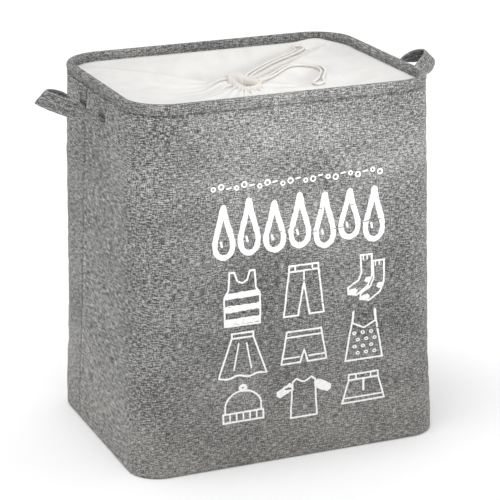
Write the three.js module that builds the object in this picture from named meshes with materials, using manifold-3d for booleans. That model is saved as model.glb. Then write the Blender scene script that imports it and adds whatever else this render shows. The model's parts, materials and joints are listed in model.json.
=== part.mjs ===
// Laundry hamper with a drawstring cloth cover. Millimetres, +Z up.
// The origin is the centre of the footprint on the floor. The front faces -Y, the carrying handles
// stand out of the two short walls at -X and +X.
import * as THREE from 'three';
import { mergeVertices } from 'three/addons/utils/BufferGeometryUtils.js';
import Module from 'manifold-3d';

const wasm = await Module();
wasm.setup();

// ---- driving dimensions ---------------------------------------------------------------------
const height = 500;
const rimWidth = 420; // along X, at the top
const rimDepth = 328; // along Y, at the top
const baseWidth = 440;
const baseDepth = 336;
const cornerRadius = 58; // outside of the upright corners
const cornerSteps = 8;

const fitGap = 0.3; // between layers that touch
const clothThickness = 1;
const foamThickness = 4;
const liningThickness = 0.8;
const boardThickness = 3;

const hemDepth = 13.7; // height of the band folded over the rim
const hemThickness = 1.3;
const hemProud = 0.6; // the folded band stands this far outside the wall cloth
const wireDiameter = 3.2;

const strapWidth = 23;
const strapThickness = 2.8;
const strapReach = 73; // from the wall to the fold of the loop
const strapLift = 21; // degrees above level
const foldLean = 45; // degrees that the strap's width leans out at the fold
const legSpacing = 78; // between the middles of the two legs
const strapSteps = 26;
const slitDrop = 43; // slits below the rim
const handleShift = 6; // middle of both handles, behind the middle of the short walls
const tailLength = 36; // sewn-in end of a strap, behind the wall cloth
const tailClearance = 0.9; // of a sewn-in end to the wall cloth
const hingeStandoff = 2; // bending line of a strap, outside the wall

const coverDrop = 16; // bending line of the cover, below the rim
const coverThickness = 2;
const seamBandHeight = 8;
const seamBandThickness = 1;
const coverInset = 2.3; // bending line of the cover, inside its sewn edge
const mouthRadius = 20; // middle of the casing round the mouth
const mouthDrop = 30; // cloth at the mouth, below the rim
const casingDiameter = 9;
const casingWall = 1.6;
const casingRise = 4; // middle of the casing above the cloth at the mouth
const panelGap = 1; // between two neighbouring cover panels
const cornerCut = 0.2; // share of each diagonal seam left open at the rounded corners

const cordDiameter = 3.5;
const strandSpacing = 6; // between the two strands of a pull loop
const tipRadius = 7; // rounding of the far end of a pull loop
const loopSteps = 78; // lengthwise steps of each pull loop
const loopExitGap = 1.7; // from the casing to the middle of a loop's first point
const cordLift = 0.6; // of a loop above the cloth it lies on
const exitLift = 1.8; // of a loop where it leaves the casing
const settleShare = 0.2; // share of a loop's length over which it comes down onto the cloth

// Each pull loop leaves the casing at an angle from +X and lies on one cover panel. Its route is
// its middle line, as [x, y] from the middle of the mouth.
const pullLoops = [
  { side: 'back', exitAngle: 67.5, route: [
    [28, 46], [50, 65], [78, 86], [104, 102], [124, 114], [134, 124], [138, 132],
  ] },
  { side: 'right', exitAngle: 22, route: [
    [48, 24], [66, 40], [84, 55], [98, 59], [112, 49], [121, 31], [119, 8],
    [108, -14], [96, -34], [88, -46],
  ] },
];

// ---- sizes that follow ----------------------------------------------------------------------
const floorTop = clothThickness;
const layerBottom = floorTop + fitGap;
const foamFrom = clothThickness + fitGap;
const foamTo = foamFrom + foamThickness;
const liningFrom = foamTo + fitGap;
const liningTo = liningFrom + liningThickness;
const bandFrom = liningTo + fitGap;
const bandTo = bandFrom + seamBandThickness;
const hemBottom = height - hemDepth;
const clothTop = hemBottom - fitGap;
const wireRadius = wireDiameter / 2;
const wireLevel = height - hemThickness - fitGap - wireRadius;
const foamTop = wireLevel - wireRadius - fitGap;
const slitLevel = height - slitDrop;
const coverHingeLevel = height - coverDrop;
const coverHingeInset = bandTo + coverInset;
const mouthLevel = height - mouthDrop;
const casingLevel = mouthLevel + casingRise;

const halfWidthAt = (z) => THREE.MathUtils.lerp(baseWidth, rimWidth, z / height) / 2;
const halfDepthAt = (z) => THREE.MathUtils.lerp(baseDepth, rimDepth, z / height) / 2;

// ---- looks ----------------------------------------------------------------------------------
const finish = (color, roughness, metalness = 0) =>
  new THREE.MeshStandardMaterial({ color, roughness, metalness });
const finishes = {
  greyCloth: finish('#868685', 0.95),
  whiteCloth: finish('#e8e7e4', 0.9),
  creamCord: finish('#e3dccd', 0.85),
  foam: finish('#d9d8d2', 0.95),
  board: finish('#b9a788', 0.9),
  steel: finish('#b4b6b8', 0.35, 1),
};

const hamper = new THREE.Group();

function addPart(name, geometry, finishName) {
  const mesh = new THREE.Mesh(geometry, finishes[finishName]);
  mesh.name = name;
  hamper.add(mesh);
}

// ---- solids: joining and cutting ------------------------------------------------------------
function solidFrom(geometry) {
  const bare = geometry.clone();
  bare.deleteAttribute('normal');
  bare.deleteAttribute('uv');
  const merged = mergeVertices(bare, 1e-4);
  return new wasm.Manifold(new wasm.Mesh({
    numProp: 3,
    vertProperties: merged.attributes.position.array,
    triVerts: new Uint32Array(merged.index.array),
  }));
}

function geometryFrom(solid) {
  const mesh = solid.getMesh();
  const geometry = new THREE.BufferGeometry();
  geometry.setAttribute('position', new THREE.BufferAttribute(mesh.vertProperties, 3));
  geometry.setIndex(new THREE.BufferAttribute(mesh.triVerts, 1));
  geometry.computeVertexNormals();
  return geometry;
}

function moveVertices(geometry, place) {
  const position = geometry.attributes.position;
  const point = new THREE.Vector3();
  for (let i = 0; i < position.count; i += 1) {
    point.fromBufferAttribute(position, i);
    place(point);
    position.setXYZ(i, point.x, point.y, point.z);
  }
  geometry.computeVertexNormals();
  return geometry;
}

// Sweeps rings of points, each with the same number of corners, into one closed skin.
function skin(rings, closed) {
  const corners = rings[0].length;
  const points = rings.flat();
  const faces = [];
  const spans = closed ? rings.length : rings.length - 1;
  for (let r = 0; r < spans; r += 1) {
    const here = r * corners;
    const next = ((r + 1) % rings.length) * corners;
    for (let c = 0; c < corners; c += 1) {
      const d = (c + 1) % corners;
      faces.push(here + c, next + c, next + d, here + c, next + d, here + d);
    }
  }
  if (!closed) {
    const last = (rings.length - 1) * corners;
    for (let c = 1; c < corners - 1; c += 1) {
      faces.push(0, c, c + 1, last, last + c + 1, last + c);
    }
  }
  const geometry = new THREE.BufferGeometry().setFromPoints(points);
  geometry.setIndex(faces);
  geometry.computeVertexNormals();
  return geometry;
}

// ---- the footprint: a rounded rectangle that widens towards the floor -------------------------
const quarterTurns = [[1, 1], [-1, 1], [-1, -1], [1, -1]];

function footprint(inset, z) {
  const radius = cornerRadius - inset;
  const points = [];
  quarterTurns.forEach(([sideX, sideY], quarter) => {
    const centreX = sideX * (halfWidthAt(z) - cornerRadius);
    const centreY = sideY * (halfDepthAt(z) - cornerRadius);
    for (let step = 0; step <= cornerSteps; step += 1) {
      const angle = ((quarter + step / cornerSteps) * Math.PI) / 2;
      points.push(new THREE.Vector3(
        centreX + radius * Math.cos(angle),
        centreY + radius * Math.sin(angle),
        z,
      ));
    }
  });
  return points;
}

// A band that runs all the way round: its section is a closed outline of [inset, z] corners,
// listed clockwise when inset runs to the right and z up.
function hoop(section) {
  const tracks = section.map(([inset, z]) => footprint(inset, z));
  return skin(tracks[0].map((_, station) => tracks.map((track) => track[station])), true);
}

const slab = (insetFrom, insetTo, zFrom, zTo) => [
  [insetFrom, zFrom], [insetFrom, zTo], [insetTo, zTo], [insetTo, zFrom],
];

function plate(inset, z, thickness) {
  const outline = footprint(inset, z).map((p) => new THREE.Vector2(p.x, p.y));
  return new THREE.ExtrudeGeometry(new THREE.Shape(outline), {
    depth: thickness, bevelEnabled: false,
  }).translate(0, 0, z);
}

// ---- handles --------------------------------------------------------------------------------
const handleSides = [['left', -1], ['right', 1]];
const legPlaces = [['front', -1], ['back', 1]];
const legY = (place) => handleShift + (place * legSpacing) / 2;

// A block on a short wall, given by insets into the wall, so that it follows the wall's lean.
function wallBlock(side, outline, width, y) {
  const shape = new THREE.Shape(outline.map(([inset, z]) => new THREE.Vector2(inset, z)));
  const block = new THREE.ExtrudeGeometry(shape, { depth: width, bevelEnabled: false });
  block.translate(0, 0, -width / 2);
  block.rotateX(Math.PI / 2);
  moveVertices(block, (p) => p.set(p.x - halfWidthAt(p.z), p.y - side * y, p.z));
  return block.rotateZ(side > 0 ? Math.PI : 0);
}

function strapSlit(side, place) {
  const half = strapThickness / 2 + fitGap;
  return wallBlock(
    side,
    slab(-clothThickness, clothThickness + fitGap, slitLevel - half, slitLevel + half),
    strapWidth + 2 * fitGap,
    legY(place),
  );
}

const tailInner = foamTo - 2 * fitGap;
const tailOuter = clothThickness + tailClearance;

function strapTail(side, place) {
  const top = slitLevel + strapThickness / 2;
  const elbow = slitLevel - strapThickness / 2;
  return wallBlock(side, [
    [0, top], [tailInner, top], [tailInner, slitLevel - tailLength],
    [tailOuter, slitLevel - tailLength], [tailOuter, elbow], [0, elbow],
  ].reverse(), strapWidth, legY(place));
}

function tailPocket(side, place) {
  return wallBlock(
    side,
    slab(
      clothThickness,
      liningFrom,
      slitLevel - tailLength - fitGap,
      slitLevel + strapThickness / 2 + fitGap,
    ),
    strapWidth + 2 * fitGap,
    legY(place),
  );
}

// The strap leaves each slit lying flat, turns on edge along its leg, and folds back at the tip.
function strapLoop(side) {
  const half = legSpacing / 2;
  const path = new THREE.CatmullRomCurve3([
    [-half, 0], [-0.97 * half, 0.25], [-0.83 * half, 0.56], [-0.46 * half, 0.87], [0, 1],
    [0.46 * half, 0.87], [0.83 * half, 0.56], [0.97 * half, 0.25], [half, 0],
  ].map(([along, share]) => new THREE.Vector3(0, along, share * strapReach)));
  const lift = THREE.MathUtils.degToRad(strapLift);
  const lean = THREE.MathUtils.degToRad(foldLean);
  const out = new THREE.Vector3(Math.cos(lift), 0, Math.sin(lift));
  const alongWall = new THREE.Vector3(0, 1, 0);
  const onEdge = new THREE.Vector3(Math.sin(lean), 0, -Math.cos(lean));
  const rings = [];
  for (let step = 0; step <= strapSteps; step += 1) {
    const share = step / strapSteps;
    const flat = path.getPointAt(share);
    const slope = path.getTangentAt(share);
    const middle = out.clone().multiplyScalar(flat.z).addScaledVector(alongWall, flat.y);
    const tangent = out.clone().multiplyScalar(slope.z).addScaledVector(alongWall, slope.y);
    const end = share < 0.5 ? -1 : 1;
    const turned = THREE.MathUtils.smoothstep(flat.z / strapReach, 0.04, 0.75);
    const across = alongWall.clone().multiplyScalar(end * (1 - turned));
    across.addScaledVector(onEdge, turned);
    across.addScaledVector(tangent, -across.dot(tangent)).normalize();
    const through = tangent.clone().cross(across).multiplyScalar(strapThickness / 2);
    across.multiplyScalar(strapWidth / 2);
    rings.push([[1, 1], [-1, 1], [-1, -1], [1, -1]].map(([w, t]) => {
      const corner = middle.clone().addScaledVector(across, w).addScaledVector(through, t);
      corner.x = -(halfWidthAt(slitLevel) + hingeStandoff + corner.x);
      corner.y -= side * handleShift;
      corner.z += slitLevel;
      return corner;
    }));
  }
  return skin(rings, false).rotateZ(side > 0 ? Math.PI : 0);
}

// ---- cover ----------------------------------------------------------------------------------
// Each side is given by the direction that points inwards from its bending line, the half length
// of that line, and the distance from the line to the middle of the mouth.
const hingeHalfX = halfWidthAt(coverHingeLevel) - coverHingeInset;
const hingeHalfY = halfDepthAt(coverHingeLevel) - coverHingeInset;
const coverSides = [
  { name: 'front', inward: [0, 1], half: hingeHalfX, reach: hingeHalfY },
  { name: 'back', inward: [0, -1], half: hingeHalfX, reach: hingeHalfY },
  { name: 'left', inward: [1, 0], half: hingeHalfY, reach: hingeHalfX },
  { name: 'right', inward: [-1, 0], half: hingeHalfY, reach: hingeHalfX },
];

// Extrudes an outline of [along, inwards] corners, measured from the side's bending line.
function sideBlock(side, outline, zFrom, depth) {
  const shape = new THREE.Shape(outline.map(([a, d]) => new THREE.Vector2(a, d)));
  const block = new THREE.ExtrudeGeometry(shape, { depth, bevelEnabled: false });
  const [inX, inY] = side.inward;
  return moveVertices(block, (p) => {
    const inwards = p.y - side.reach;
    p.set(inX * inwards + inY * p.x, inY * inwards - inX * p.x, zFrom + p.z);
  });
}

// The slice of the cover that belongs to one side, between the two diagonal seams.
function wedge(side) {
  const seamAngle = Math.atan2(side.reach, side.half);
  const apex = side.reach - panelGap / 2 / Math.cos(seamAngle);
  const halfBase = (apex * side.half) / side.reach;
  const depth = 2 * casingDiameter;
  const outline = [[-halfBase, 0], [halfBase, 0], [0, apex]];
  return solidFrom(sideBlock(side, outline, casingLevel - depth / 2, depth));
}

const mouthEdge = mouthRadius + casingDiameter / 2 + fitGap;
const fallOf = (side) => (coverHingeLevel - mouthLevel) / (side.reach - mouthEdge);
const inwardsOn = (side, x, y) => side.reach + side.inward[0] * x + side.inward[1] * y;
const clothLevel = (side, x, y) => coverHingeLevel - fallOf(side) * inwardsOn(side, x, y);

function coverPanel(side) {
  const straightHalf = side.half - (cornerRadius - coverHingeInset);
  const cutHalf = side.half * (1 - cornerCut);
  const cutDepth = side.reach * cornerCut;
  const blank = sideBlock(side, [
    [-straightHalf, 0], [straightHalf, 0], [cutHalf, cutDepth],
    [0, side.reach], [-cutHalf, cutDepth],
  ], casingLevel - coverThickness / 2, coverThickness);
  const hole = new THREE.CylinderGeometry(mouthEdge, mouthEdge, 2 * coverThickness, 48);
  hole.rotateX(Math.PI / 2).translate(0, 0, casingLevel);
  const flat = solidFrom(blank).intersect(wedge(side)).subtract(solidFrom(hole));
  return moveVertices(geometryFrom(flat), (p) => {
    p.z += clothLevel(side, p.x, p.y) - casingLevel;
  });
}

function ringRoundMouth(radius) {
  const ring = new THREE.TorusGeometry(mouthRadius, radius, 12, 48);
  return solidFrom(ring.translate(0, 0, casingLevel));
}

// ---- pull loops -----------------------------------------------------------------------------
// A doubled cord: out along one side of its middle line, round a wide tip, and back along the
// other, lying on the cloth of its cover panel.
function pullLoop(loop) {
  const side = coverSides.find((one) => one.name === loop.side);
  const exitAngle = THREE.MathUtils.degToRad(loop.exitAngle);
  const exitRadius = mouthRadius + casingDiameter / 2 + loopExitGap;
  const exit = [exitRadius * Math.cos(exitAngle), exitRadius * Math.sin(exitAngle)];
  const middle = new THREE.CatmullRomCurve3(
    [exit, ...loop.route].map(([x, y]) => new THREE.Vector3(x, y, 0)),
  );
  const lieOnCloth = (point, share) => {
    const settled = THREE.MathUtils.smoothstep(share, 0, settleShare);
    const lift = THREE.MathUtils.lerp(exitLift, cordLift, settled);
    const level = clothLevel(side, point.x, point.y) + coverThickness / 2;
    return point.setZ(level + cordDiameter / 2 + lift);
  };
  const outward = [];
  const homeward = [];
  const count = 2 * loop.route.length;
  for (let i = 0; i <= count; i += 1) {
    const share = i / count;
    const point = middle.getPointAt(share);
    const tangent = middle.getTangentAt(share);
    const across = new THREE.Vector3(-tangent.y, tangent.x, 0);
    const swell = THREE.MathUtils.smoothstep(share, 0.88, 1);
    const half = THREE.MathUtils.lerp(strandSpacing / 2, tipRadius, swell);
    outward.push(lieOnCloth(point.clone().addScaledVector(across, half), share));
    homeward.unshift(lieOnCloth(point.clone().addScaledVector(across, -half), share));
  }
  const tip = middle.getPointAt(1).addScaledVector(middle.getTangentAt(1), tipRadius);
  const path = new THREE.CatmullRomCurve3([...outward, lieOnCloth(tip, 1), ...homeward]);
  const section = new THREE.Shape();
  section.absarc(0, 0, cordDiameter / 2, 0, 2 * Math.PI);
  return new THREE.ExtrudeGeometry(section, {
    steps: loopSteps, curveSegments: 4, bevelEnabled: false, extrudePath: path,
  });
}

// ---- assembly: walls and floor --------------------------------------------------------------
const cutAtStraps = (geometry, cutter) => {
  let solid = solidFrom(geometry);
  for (const [, side] of handleSides) {
    for (const [, place] of legPlaces) {
      solid = solid.subtract(solidFrom(cutter(side, place)));
    }
  }
  return geometryFrom(solid);
};

const wallCloth = hoop(slab(0, clothThickness, layerBottom, clothTop));
addPart('outer_wall_cloth', cutAtStraps(wallCloth, strapSlit), 'greyCloth');
const wallFoam = hoop(slab(foamFrom, foamTo, layerBottom, foamTop));
addPart('wall_foam', cutAtStraps(wallFoam, tailPocket), 'foam');
addPart('wall_lining', hoop(slab(liningFrom, liningTo, layerBottom, foamTop)), 'whiteCloth');
addPart('base_cloth', plate(0, 0, clothThickness), 'greyCloth');
addPart('base_board', plate(liningTo + fitGap, layerBottom, boardThickness), 'board');
const floorLiningBottom = layerBottom + boardThickness + fitGap;
addPart('floor_lining', plate(liningTo + fitGap, floorLiningBottom, liningThickness), 'whiteCloth');

// ---- assembly: rim --------------------------------------------------------------------------
const hemInner = liningTo + fitGap + hemThickness;
addPart('rim_hem', hoop([
  [-hemProud, hemBottom], [-hemProud, height], [hemInner, height], [hemInner, hemBottom],
  [liningTo + fitGap, hemBottom], [liningTo + fitGap, height - hemThickness],
  [hemThickness - hemProud, height - hemThickness], [hemThickness - hemProud, hemBottom],
]), 'greyCloth');
const wireMiddle = (foamFrom + foamTo) / 2;
const wireSection = [];
for (let corner = 0; corner < 8; corner += 1) {
  const angle = (-corner * Math.PI) / 4;
  wireSection.push([
    wireMiddle + wireRadius * Math.cos(angle),
    wireLevel + wireRadius * Math.sin(angle),
  ]);
}
addPart('rim_wire', hoop(wireSection), 'steel');
addPart('cover_seam_band', hoop(slab(bandFrom, bandTo, clothTop - seamBandHeight, clothTop)), 'whiteCloth');

// ---- assembly: handles ----------------------------------------------------------------------
for (const [sideName, side] of handleSides) {
  addPart(`handle_${sideName}`, strapLoop(side), 'greyCloth');
  for (const [placeName, place] of legPlaces) {
    addPart(`handle_${sideName}_tail_${placeName}`, strapTail(side, place), 'greyCloth');
  }
}

// ---- assembly: cover and drawstring ----------------------------------------------------------
const casingRadius = casingDiameter / 2;
const casing = ringRoundMouth(casingRadius).subtract(ringRoundMouth(casingRadius - casingWall));
const drawstring = ringRoundMouth(cordDiameter / 2);
for (const side of coverSides) {
  addPart(`cover_${side.name}`, coverPanel(side), 'whiteCloth');
  addPart(`mouth_casing_${side.name}`, geometryFrom(casing.intersect(wedge(side))), 'whiteCloth');
  addPart(`drawstring_${side.name}`, geometryFrom(drawstring.intersect(wedge(side))), 'creamCord');
}
for (const loop of pullLoops) {
  addPart(`pull_loop_${loop.side}`, pullLoop(loop), 'creamCord');
}

export default hamper;
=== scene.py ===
# A laundry hamper: grey linen-look cloth over a foam sheet, two strap handles, and a white
# cloth cover that a drawstring gathers to a small mouth. Metres, +Z up, the front faces -Y.
import json
import math

import bpy
import numpy as np
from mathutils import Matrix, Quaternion, Vector, noise


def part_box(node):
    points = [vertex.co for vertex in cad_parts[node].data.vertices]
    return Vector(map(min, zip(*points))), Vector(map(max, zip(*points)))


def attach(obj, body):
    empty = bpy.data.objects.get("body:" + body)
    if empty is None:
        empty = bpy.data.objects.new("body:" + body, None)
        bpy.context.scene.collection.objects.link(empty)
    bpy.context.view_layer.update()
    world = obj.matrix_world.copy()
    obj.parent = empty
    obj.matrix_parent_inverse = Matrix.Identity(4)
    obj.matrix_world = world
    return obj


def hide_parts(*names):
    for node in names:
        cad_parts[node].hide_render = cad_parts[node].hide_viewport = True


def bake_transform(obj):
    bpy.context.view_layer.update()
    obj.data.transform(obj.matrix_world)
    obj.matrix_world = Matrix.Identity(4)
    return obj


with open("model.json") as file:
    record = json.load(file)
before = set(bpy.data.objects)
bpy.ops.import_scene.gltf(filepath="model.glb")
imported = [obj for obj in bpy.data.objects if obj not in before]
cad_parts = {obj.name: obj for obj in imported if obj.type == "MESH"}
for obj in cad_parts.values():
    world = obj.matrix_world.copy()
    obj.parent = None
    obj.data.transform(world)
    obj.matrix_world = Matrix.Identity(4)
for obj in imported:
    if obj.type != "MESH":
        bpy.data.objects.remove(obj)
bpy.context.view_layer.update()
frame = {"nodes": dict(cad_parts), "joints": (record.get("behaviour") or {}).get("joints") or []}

# ---- Camera, light and floor ----------------------------------------------------------------
# A plain pale studio floor under an even white surround, a broad soft sun from above on the
# left, and a soft strip in front of the rim that brightens the cloth below it.
MM = 0.001
camera_azimuth = math.radians(-22.4)
camera_elevation = math.radians(18.06)
camera_roll = math.radians(-0.3)
camera_distance = 2.923
camera_aim = Vector((0.0072, 0, 0.2401))
camera_lens = 153.33  # mm
floor_half = 20
surround_strength = 0.86
sun_strength, sun_angle = 1.0, math.radians(35)
strip_power, strip_spread = 0.37, math.radians(60)
strip_place, strip_size = (0.05, -0.55, 0.62), (0.5, 0.12)


def colour(code):
    """An sRGB hex colour as the linear values that a socket takes."""
    parts = [int(code[i:i + 2], 16) / 255 for i in (1, 3, 5)]
    return (*[p / 12.92 if p <= 0.04045 else ((p + 0.055) / 1.055) ** 2.4 for p in parts], 1)


def add(tree, kind, settings=None, inputs=None):
    """Adds a node with its settings. An input is a value, or the output that is linked to it."""
    node = tree.nodes.new(kind)
    for name, value in (settings or {}).items():
        setattr(node, name, value)
    for key, value in (inputs or {}).items():
        if isinstance(value, bpy.types.NodeSocket):
            tree.links.new(value, node.inputs[key])
        else:
            node.inputs[key].default_value = value
    return node


def new_object(name, data):
    made = bpy.data.objects.new(name, data)
    bpy.context.scene.collection.objects.link(made)
    return made


def facing(direction):
    return direction.to_track_quat("-Z", "Y")


camera_back = Vector((
    math.sin(camera_azimuth) * math.cos(camera_elevation),
    -math.cos(camera_azimuth) * math.cos(camera_elevation),
    math.sin(camera_elevation),
))
camera = new_object("camera", bpy.data.cameras.new("camera"))
camera.data.lens = camera_lens
camera.data.clip_end = 100
camera.location = camera_aim + camera_back * camera_distance
camera.rotation_mode = "QUATERNION"
camera.rotation_quaternion = facing(-camera_back) @ Quaternion((0, 0, 1), camera_roll)
bpy.context.scene.camera = camera
bpy.context.scene.view_settings.view_transform = "Standard"

world = bpy.data.worlds.new("studio")
world.use_nodes = True
surround = world.node_tree.nodes["Background"]
surround.inputs["Color"].default_value = colour("#ffffff")
surround.inputs["Strength"].default_value = surround_strength
bpy.context.scene.world = world

sun = new_object("soft_sun", bpy.data.lights.new("soft_sun", "SUN"))
sun.data.energy = sun_strength
sun.data.angle = sun_angle
sun.rotation_mode = "QUATERNION"
sun.rotation_quaternion = facing(Vector((0.2, 0.12, -0.97)))

strip = new_object("soft_strip", bpy.data.lights.new("soft_strip", "AREA"))
strip.data.shape = "RECTANGLE"
strip.data.energy = strip_power
strip.data.size, strip.data.size_y = strip_size
strip.data.spread = strip_spread
strip.location = strip_place
strip.rotation_mode = "QUATERNION"
strip.rotation_quaternion = facing(Vector((0, 0.39, -0.18)))

floor_mesh = bpy.data.meshes.new("floor")
floor_mesh.from_pydata(
    [(x * floor_half, y * floor_half, 0) for x, y in ((-1, -1), (1, -1), (1, 1), (-1, 1))],
    [], [(0, 1, 2, 3)],
)
floor = new_object("floor", floor_mesh)
floor_paint = bpy.data.materials.new("matt_floor_paint")
floor_paint.use_nodes = True
floor_shader = floor_paint.node_tree.nodes["Principled BSDF"]
floor_shader.inputs["Base Color"].default_value = colour("#fbfbfb")
floor_shader.inputs["Roughness"].default_value = 0.9
floor_mesh.materials.append(floor_paint)

# ---- Pull loops of the drawstring -------------------------------------------------------------
# The ends of the drawstring: braided cream cotton cord, 3.5 mm, doubled into two loops that come
# out between the gathers of the mouth and lie on the cover. Limp, so they follow the cloth.
cord_width = 3.5 * MM
cord_relief = 0.09  # depth of the braid, as a share of the radius
braid_turn = 9 * MM  # length in which a plait goes once round
braid_plaits = 5
cord_sides = 20
cord_step = 0.8 * MM
strand_spacing = 6 * MM
tip_radius = 7 * MM
tip_swell = (0.88, 1)
settle_share = 0.2
exit_lift, cord_lift = 1.8 * MM, 0.6 * MM
mouth_radius = 20 * MM
casing_radius = 4.5 * MM
exit_radius = mouth_radius + casing_radius + 1.7 * MM
mouth_edge = mouth_radius + casing_radius + 0.3 * MM
hinges = {j["child"]: j["pos_m"] for j in frame["joints"]}
hinge_level = hinges["front_cover"][2]
hinge_half = (abs(hinges["right_cover"][0]), abs(hinges["front_cover"][1]))
cover_half_thickness = 1 * MM
mouth_fall = 14 * MM
pull_loops = {
    "back": (67.5, [(28, 46), (50, 65), (78, 86), (104, 102), (124, 114), (134, 124), (138, 132)]),
    "right": (22, [
        (48, 24), (66, 40), (84, 55), (98, 59), (112, 49), (121, 31), (119, 8),
        (108, -14), (96, -34), (88, -46),
    ]),
}


def hump(distance, half_width):
    """A bell from 1 in its middle to 0.37 at its half width."""
    return np.exp(-((distance / half_width) ** 2))


def smooth_steps(value, low, high):
    t = np.clip((value - low) / (high - low), 0, 1)
    return t * t * (3 - 2 * t)


def run_along(line, closed=False):
    """The distance along a line at each of its points, and back at the first if it is closed."""
    line = np.vstack([line, line[:1]]) if closed else line
    return np.concatenate([[0], np.cumsum(np.linalg.norm(np.diff(line, axis=0), axis=1))])


def resampled(line, count):
    """count + 1 evenly spaced points along a line."""
    run = run_along(line)
    at = np.linspace(0, run[-1], count + 1)
    return np.column_stack([np.interp(at, run, way) for way in line.T])


def smooth_line(points, count):
    """count + 1 evenly spaced points on the centripetal curve through the given ones."""
    points = np.array(points, float)
    knots = np.vstack([2 * points[0] - points[1], points, 2 * points[-1] - points[-2]])
    t = np.linspace(0, 1, 33)[:-1, None]
    fine = []
    for a, b, c, d in zip(knots, knots[1:], knots[2:], knots[3:]):
        ab, bc, cd = (math.sqrt(np.linalg.norm(q - p)) for p, q in ((a, b), (b, c), (c, d)))
        leave = ((b - a) / ab - (c - a) / (ab + bc)) * bc + c - b
        arrive = ((d - c) / cd - (d - b) / (bc + cd)) * bc + c - b
        fine.append(
            b + leave * t + (3 * (c - b) - 2 * leave - arrive) * t**2
            + (2 * (b - c) + leave + arrive) * t**3
        )
    return resampled(np.vstack([*fine, points[-1]]), count)


def directions(path):
    slope = np.gradient(path, axis=0)
    return slope / np.linalg.norm(slope, axis=1)[:, None]


def length_of(path):
    return float(np.linalg.norm(np.diff(path, axis=0), axis=1).sum())


def loft(name, points, uv, round_rows=False, round_columns=True, capped=False, skip=None):
    """A mesh from rows of points, with UVs in metres: one more of them on a way round that closes.
    It faces the side from which columns run to the right while rows go up."""
    rows, columns = points.shape[:2]
    faces, corners = [], []
    for r in range(rows if round_rows else rows - 1):
        for c in range(columns if round_columns else columns - 1):
            if skip is not None and skip[r, c]:
                continue
            up, right = (r + 1) % rows, (c + 1) % columns
            faces.append([r * columns + c, r * columns + right, up * columns + right, up * columns + c])
            corners += [uv[r, c], uv[r, c + 1], uv[r + 1, c + 1], uv[r + 1, c]]
    if capped:
        faces += [list(range(columns))[::-1], [(rows - 1) * columns + c for c in range(columns)]]
        corners += [*uv[0, :columns][::-1], *uv[rows - 1, :columns]]
    mesh = bpy.data.meshes.new(name)
    mesh.from_pydata(points.reshape(-1, 3).tolist(), [], faces)
    mesh.uv_layers.new(name="cloth").data.foreach_set("uv", np.array(corners, float).ravel())
    mesh.shade_smooth()
    return new_object(name, mesh)


def new_finish(name, roughness, fixed):
    """A material with its shader's constant values set. It returns the material, tree and shader."""
    material = bpy.data.materials.new(name)
    material.use_nodes = True
    shader = material.node_tree.nodes["Principled BSDF"]
    shader.inputs["Roughness"].default_value = roughness
    for key, value in fixed.items():
        shader.inputs[key].default_value = value
    return material, material.node_tree, shader


def maths(tree, operation, a, b=0.0):
    return add(tree, "ShaderNodeMath", {"operation": operation}, {0: a, 1: b}).outputs[0]


def weigh(tree, *parts):
    """The sum of values, each times its weight."""
    total = maths(tree, "MULTIPLY", *parts[0])
    for value, weight in parts[1:]:
        total = maths(tree, "ADD", total, maths(tree, "MULTIPLY", value, weight))
    return total


def spots(tree, vector, per_metre, detail=2.0, distortion=0.0):
    """Noise whose grains are one over per_metre long each way, given as (x, y, z)."""
    stretched = add(tree, "ShaderNodeVectorMath", {"operation": "MULTIPLY"}, {0: vector, 1: per_metre})
    return add(tree, "ShaderNodeTexNoise", None, {
        "Vector": stretched.outputs[0], "Scale": 1.0, "Detail": detail, "Distortion": distortion,
    }).outputs["Fac"]


def ramp(tree, factor, *stops):
    node = add(tree, "ShaderNodeValToRGB", None, {"Fac": factor})
    while len(node.color_ramp.elements) < len(stops):
        node.color_ramp.elements.new(0.5)
    for element, (position, code) in zip(node.color_ramp.elements, stops):
        element.position = position
        element.color = colour(code)
    return node.outputs["Color"]


def raise_surface(tree, shader, height, distance, strength=1.0):
    bump = add(tree, "ShaderNodeBump", None, {
        "Height": height, "Distance": distance, "Strength": strength,
    })
    tree.links.new(bump.outputs["Normal"], shader.inputs["Normal"])


def cotton_cord_finish():
    """Unbleached cotton, braided: matt, a little warm, darker between the plaits."""
    material, tree, shader = new_finish("braided_cotton_cord", 0.9, {
        "IOR": 1.45, "Specular IOR Level": 0.25, "Sheen Weight": 0.25, "Sheen Roughness": 0.5,
    })
    where = add(tree, "ShaderNodeTexCoord")
    parts = add(tree, "ShaderNodeSeparateXYZ", None, {0: where.outputs["UV"]}).outputs
    along = maths(tree, "MULTIPLY", parts["X"], 2 * math.pi * braid_plaits / braid_turn)
    around = maths(tree, "MULTIPLY", parts["Y"], 2 * math.pi * braid_plaits / (math.pi * cord_width))
    right_hand = maths(tree, "SINE", maths(tree, "ADD", along, around))
    left_hand = maths(tree, "SINE", maths(tree, "SUBTRACT", along, around))
    plaits = maths(tree, "MAXIMUM", right_hand, left_hand)
    hairs = spots(tree, where.outputs["UV"], (900, 5200, 1), 3)
    tone = maths(tree, "ADD", maths(tree, "MULTIPLY", plaits, 0.22), hairs)
    shade = ramp(tree, tone, (0.2, "#d0cbc2"), (0.5, "#dedad2"), (0.8, "#e9e6e0"))
    tree.links.new(shade, shader.inputs["Base Color"])
    raise_surface(tree, shader, maths(tree, "ADD", plaits, hairs), 0.25 * MM, 0.6)
    return material


def panel_level(side, x, y):
    """Height of the middle of a cover panel's cloth: it falls evenly from its hinge to the mouth."""
    reach = hinge_half[0] if side in ("left", "right") else hinge_half[1]
    inward = {"back": -y, "front": y, "right": -x, "left": x}[side]
    return hinge_level - mouth_fall / (reach - mouth_edge) * (reach + inward)


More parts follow.
